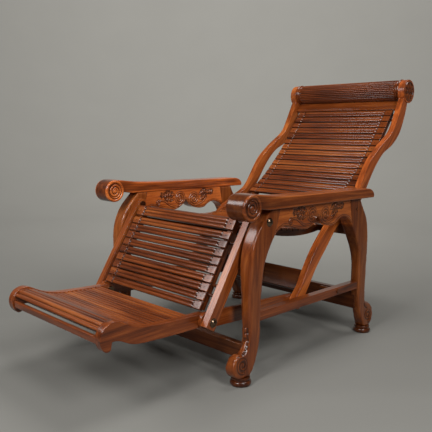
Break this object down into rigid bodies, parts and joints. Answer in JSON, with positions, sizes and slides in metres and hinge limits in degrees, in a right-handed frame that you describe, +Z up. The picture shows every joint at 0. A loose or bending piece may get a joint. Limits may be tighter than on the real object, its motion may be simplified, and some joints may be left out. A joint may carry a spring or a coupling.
{
  "type": "planters chair",
  "caption": "Reclining hardwood planters chair: slatted back on S-shaped rails linked to a swinging slatted leg panel with a fold-up footrest, between carved side frames.",
  "frame": {"origin": "on the floor, under the middle of the whole chair's box at rest", "axes": "+Z up, the sitter faces -Y, +X to the sitter's left"},
  "size_m": [0.726, 1.5612, 0.9945],
  "materials": {
    "frame_wood": "polished reddish-brown hardwood",
    "slat_wood": "polished reddish-brown hardwood, reeded",
    "dark_wood": "dark polished hardwood",
    "dark_metal": "darkened brass"
  },
  "bodies": {
    "frame": {"apron_left": "frame_wood", "apron_right": "frame_wood", "arm_left": "frame_wood", "arm_right": "frame_wood", "back_pivot_pins": "dark_metal", "back_pivot_spacers": "dark_wood", "back_stop_pegs": "dark_wood", "front_foot_pad_left": "frame_wood", "front_foot_pad_right": "frame_wood", "front_leg_left": "frame_wood", "front_leg_right": "frame_wood", "front_seat_rail": "frame_wood", "front_stretcher": "frame_wood", "joint_plugs": "dark_wood", "leg_hinge_pins": "dark_metal", "leg_hinge_spacers": "dark_wood", "rear_foot_pad_left": "frame_wood", "rear_foot_pad_right": "frame_wood", "rear_leg_left": "frame_wood", "rear_leg_right": "frame_wood", "rear_seat_rail": "frame_wood", "rear_stretcher": "frame_wood", "seat_bearer_left": "frame_wood", "seat_bearer_right": "frame_wood", "seat_slat_pegs": "dark_wood", "seat_slats": "slat_wood", "side_stretcher_left": "frame_wood", "side_stretcher_right": "frame_wood"},
    "back": {"back_rail_left": "frame_wood", "back_rail_right": "frame_wood", "head_bolster": "frame_wood", "head_rosette_left": "frame_wood", "head_rosette_right": "frame_wood", "back_top_slat": "slat_wood", "back_slats": "slat_wood", "back_slat_pegs": "dark_wood", "back_batten_left": "frame_wood", "back_batten_right": "frame_wood", "back_rods": "dark_wood", "back_cross_board": "frame_wood", "link_pins": "dark_metal"},
    "leg_panel": {"leg_rail_left": "frame_wood", "leg_rail_right": "frame_wood", "leg_top_bar": "slat_wood", "leg_slats": "slat_wood", "leg_slat_pegs": "dark_wood", "leg_batten_left": "frame_wood", "leg_batten_right": "frame_wood", "leg_rods": "dark_wood", "foot_hinge_bolts": "dark_metal", "foot_hinge_washers": "dark_metal"},
    "links": {"link_bar_left": "frame_wood", "link_bar_right": "frame_wood"},
    "footrest": {"foot_rail_left": "frame_wood", "foot_rail_right": "frame_wood", "foot_slats": "slat_wood", "foot_nose_slat": "slat_wood"}
  },
  "joints": [
    {"name": "back_recline", "type": "hinge", "parent": "frame", "child": "back", "pos_m": [0, 0.26161, 0.448], "axis": [1, 0, 0], "range_deg": [0, 21.6]},
    {"name": "leg_panel_swing", "type": "hinge", "parent": "frame", "child": "leg_panel", "pos_m": [0, -0.24039, 0.491], "axis": [1, 0, 0], "range_deg": [0, 21.4]},
    {"name": "link_turn", "type": "hinge", "parent": "back", "child": "links", "pos_m": [0, 0.00761, 0.182], "axis": [1, 0, 0], "range_deg": [-25.9, 0]},
    {"name": "footrest_fold", "type": "hinge", "parent": "leg_panel", "child": "footrest", "pos_m": [0, -0.41539, 0.203], "axis": [1, 0, 0], "range_deg": [-30, 0]}
  ],
  "couplings": [
    {"joint": "leg_panel_swing", "follows": "back_recline", "ratio": 0.99},
    {"joint": "link_turn", "follows": "back_recline", "ratio": -1.195}
  ]
}
